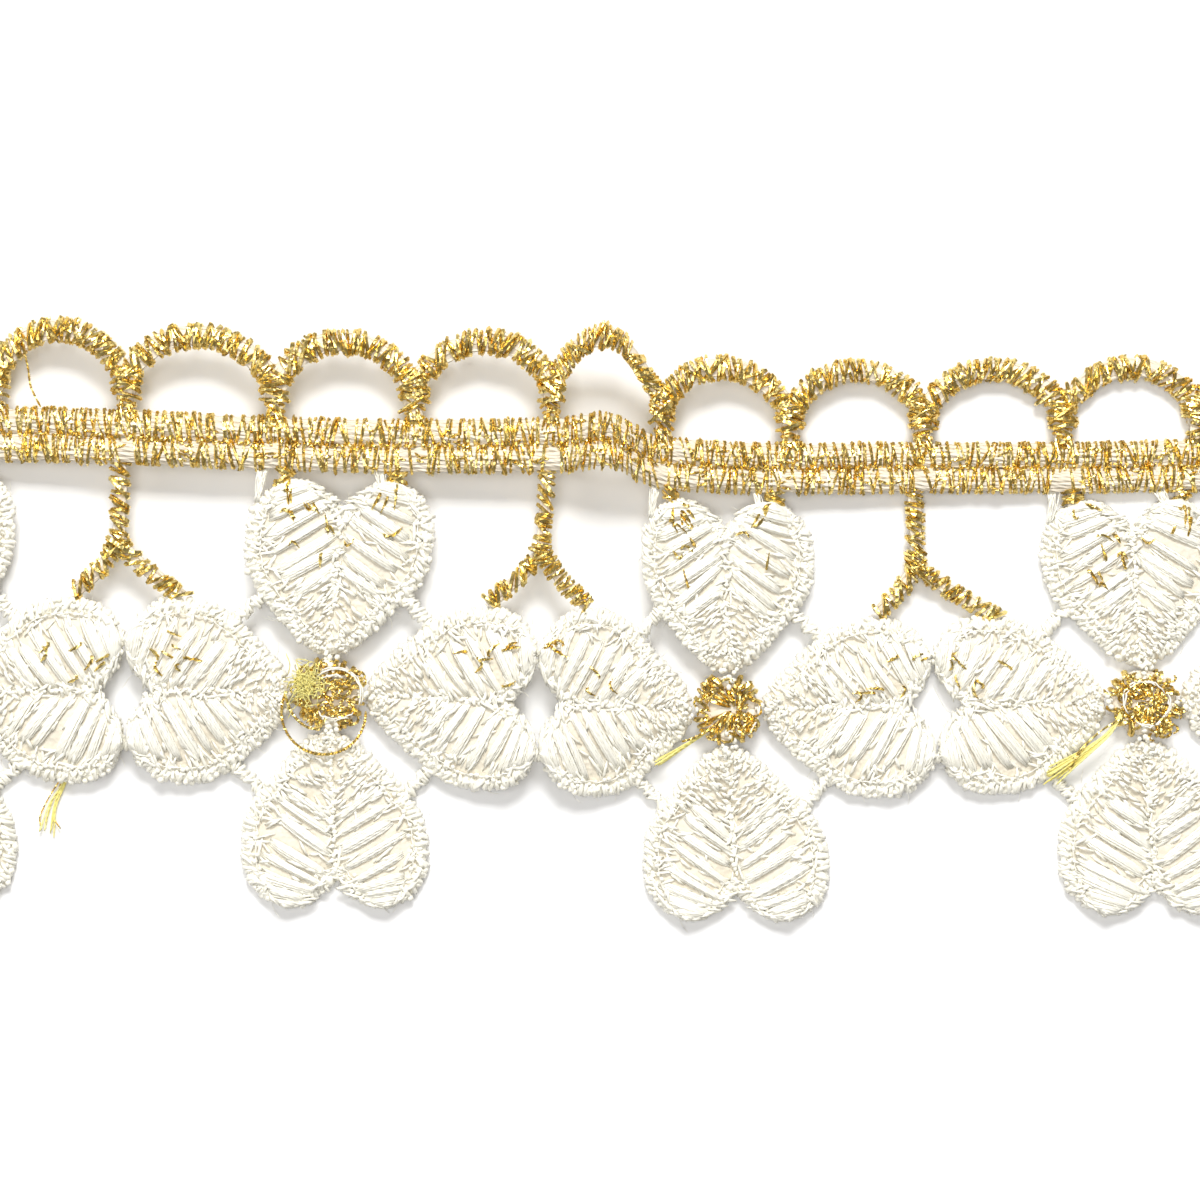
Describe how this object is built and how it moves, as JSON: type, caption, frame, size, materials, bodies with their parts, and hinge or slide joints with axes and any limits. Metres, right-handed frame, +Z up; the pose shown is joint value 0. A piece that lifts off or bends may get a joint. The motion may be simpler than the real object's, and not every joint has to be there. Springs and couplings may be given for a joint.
{
  "type": "lace trim",
  "caption": "Cut length of flower lace braid lying face up: a gold corded header with a looped upper edge, and below it a row of ivory flowers with heart petals and gold centres.",
  "frame": {"origin": "centre of the bounding box, on the surface that the braid lies on", "axes": "+X along the braid to the right as it is seen face on, +Y across it from the flowers to the looped edge, +Z up out of its face"},
  "size_m": [0.129, 0.047, 0.0057],
  "materials": {
    "gold_metal_thread": "glittering gold metallised thread wound over a beige padding thread, with bright and dark glints",
    "ivory_rayon_thread": "ivory rayon thread in slanted satin stitches with a soft silky sheen and a beaded edge"
  },
  "bodies": {
    "root": {"gold_header": "gold_metal_thread", "ivory_flower_1": "ivory_rayon_thread", "ivory_flower_2": "ivory_rayon_thread", "ivory_flower_3": "ivory_rayon_thread", "ivory_flower_4": "ivory_rayon_thread", "gold_centre_1": "gold_metal_thread", "gold_centre_2": "gold_metal_thread", "gold_centre_3": "gold_metal_thread", "gold_centre_4": "gold_metal_thread"}
  },
  "joints": []
}
